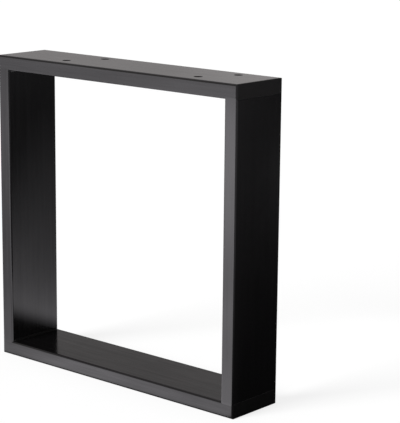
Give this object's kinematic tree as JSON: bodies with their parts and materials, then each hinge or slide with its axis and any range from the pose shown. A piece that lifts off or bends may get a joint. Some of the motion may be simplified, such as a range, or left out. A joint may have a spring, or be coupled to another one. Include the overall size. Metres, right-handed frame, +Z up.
{
  "type": "box frame table leg",
  "caption": "Closed rectangular leg frame welded from flat steel box tube, black powder coated, with screw holes along its top bar for a table top or bench seat.",
  "frame": {"origin": "on the floor, at the middle of the frame's footprint", "axes": "+X across the frame towards the upright on the right, +Y through its depth towards the back, +Z up to the table top"},
  "size_m": [0.43, 0.09, 0.43],
  "materials": {
    "black_coating": "semi-gloss black powder coating over brushed flat steel tube"
  },
  "bodies": {
    "root": {"top_bar": "black_coating", "bottom_bar": "black_coating", "left_upright": "black_coating", "right_upright": "black_coating", "top_left_cap": "black_coating", "top_right_cap": "black_coating", "bottom_left_cap": "black_coating", "bottom_right_cap": "black_coating", "corner_welds": "black_coating"}
  },
  "joints": []
}
